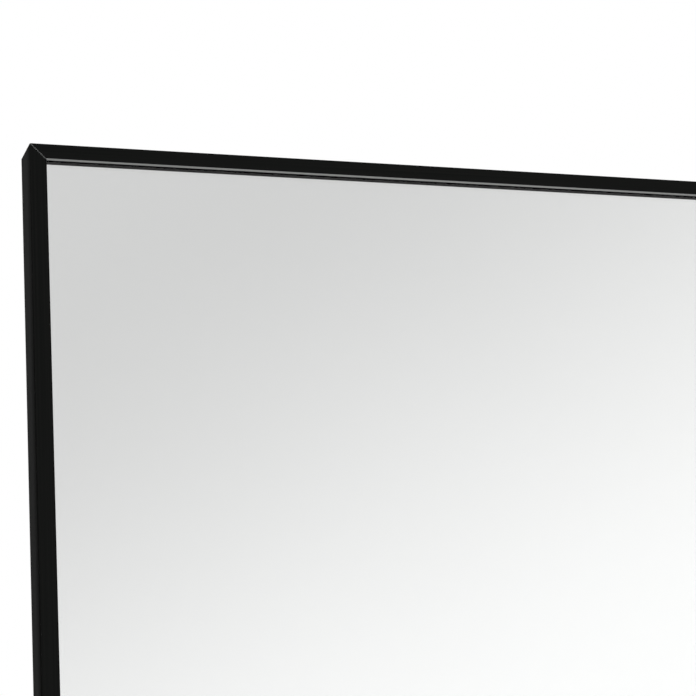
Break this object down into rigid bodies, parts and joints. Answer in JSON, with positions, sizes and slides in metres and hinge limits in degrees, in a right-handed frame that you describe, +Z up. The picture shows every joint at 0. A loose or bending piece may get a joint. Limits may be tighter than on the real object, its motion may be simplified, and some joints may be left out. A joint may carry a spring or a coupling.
{
  "type": "leaning floor mirror",
  "caption": "Tall framed floor mirror: slim black metal frame round a glass pane, standing on rubber feet and leaning back on a wall, with ring hangers behind for a tether.",
  "frame": {"origin": "on the floor, under the middle of the mirror, half-way between its front edge and the wall", "axes": "+X to the viewer's right, +Y into the wall that the mirror leans on, +Z up"},
  "size_m": [0.8, 0.2259, 1.796],
  "materials": {
    "frame_black": "satin black anodised extrusion",
    "mirror_glass": "clear float glass, polished arris",
    "silver_coating": "silver layer with protective paint behind",
    "white_foam": "closed-cell foam sheet",
    "brown_board": "brown fibreboard, smooth side out",
    "zinc_plate": "bright zinc-plated steel",
    "spring_steel": "blued spring steel",
    "black_rubber": "moulded black rubber"
  },
  "bodies": {
    "mirror": {"left_stile": "frame_black", "right_stile": "frame_black", "top_rail": "frame_black", "bottom_rail": "frame_black", "mirror_glass": "mirror_glass", "silver_coating": "silver_coating", "foam_sheet": "white_foam", "backing_board": "brown_board", "corner_key_bottom_left": "zinc_plate", "corner_key_top_left": "zinc_plate", "corner_key_top_right": "zinc_plate", "corner_key_bottom_right": "zinc_plate", "key_screw_bottom_left_1": "zinc_plate", "key_screw_bottom_left_2": "zinc_plate", "key_screw_bottom_left_3": "zinc_plate", "key_screw_bottom_left_4": "zinc_plate", "key_screw_top_left_1": "zinc_plate", "key_screw_top_left_2": "zinc_plate", "key_screw_top_left_3": "zinc_plate", "key_screw_top_left_4": "zinc_plate", "key_screw_top_right_1": "zinc_plate", "key_screw_top_right_2": "zinc_plate", "key_screw_top_right_3": "zinc_plate", "key_screw_top_right_4": "zinc_plate", "key_screw_bottom_right_1": "zinc_plate", "key_screw_bottom_right_2": "zinc_plate", "key_screw_bottom_right_3": "zinc_plate", "key_screw_bottom_right_4": "zinc_plate", "hanger_plate_left": "zinc_plate", "hanger_nut_left": "zinc_plate", "hanger_plate_right": "zinc_plate", "hanger_nut_right": "zinc_plate", "hanger_screw_left_1": "zinc_plate", "hanger_screw_left_2": "zinc_plate", "hanger_screw_right_1": "zinc_plate", "hanger_screw_right_2": "zinc_plate", "spring_clip_bottom_1": "spring_steel", "spring_clip_bottom_2": "spring_steel", "spring_clip_left_1": "spring_steel", "spring_clip_left_2": "spring_steel", "spring_clip_left_3": "spring_steel", "spring_clip_top_1": "spring_steel", "spring_clip_top_2": "spring_steel", "spring_clip_right_1": "spring_steel", "spring_clip_right_2": "spring_steel", "spring_clip_right_3": "spring_steel", "floor_foot_left": "black_rubber", "floor_foot_right": "black_rubber", "wall_bumper_left": "black_rubber", "wall_bumper_right": "black_rubber"},
    "left_ring": {"d_ring_left": "zinc_plate"},
    "right_ring": {"d_ring_right": "zinc_plate"}
  },
  "joints": [
    {"name": "left_ring_swing", "type": "hinge", "parent": "mirror", "child": "left_ring", "pos_m": [-0.28, 0.10736, 1.7806], "axis": [1, 0, 0], "range_deg": [-80, 172]},
    {"name": "right_ring_swing", "type": "hinge", "parent": "mirror", "child": "right_ring", "pos_m": [0.28, 0.10736, 1.7806], "axis": [1, 0, 0], "range_deg": [-80, 172]}
  ]
}
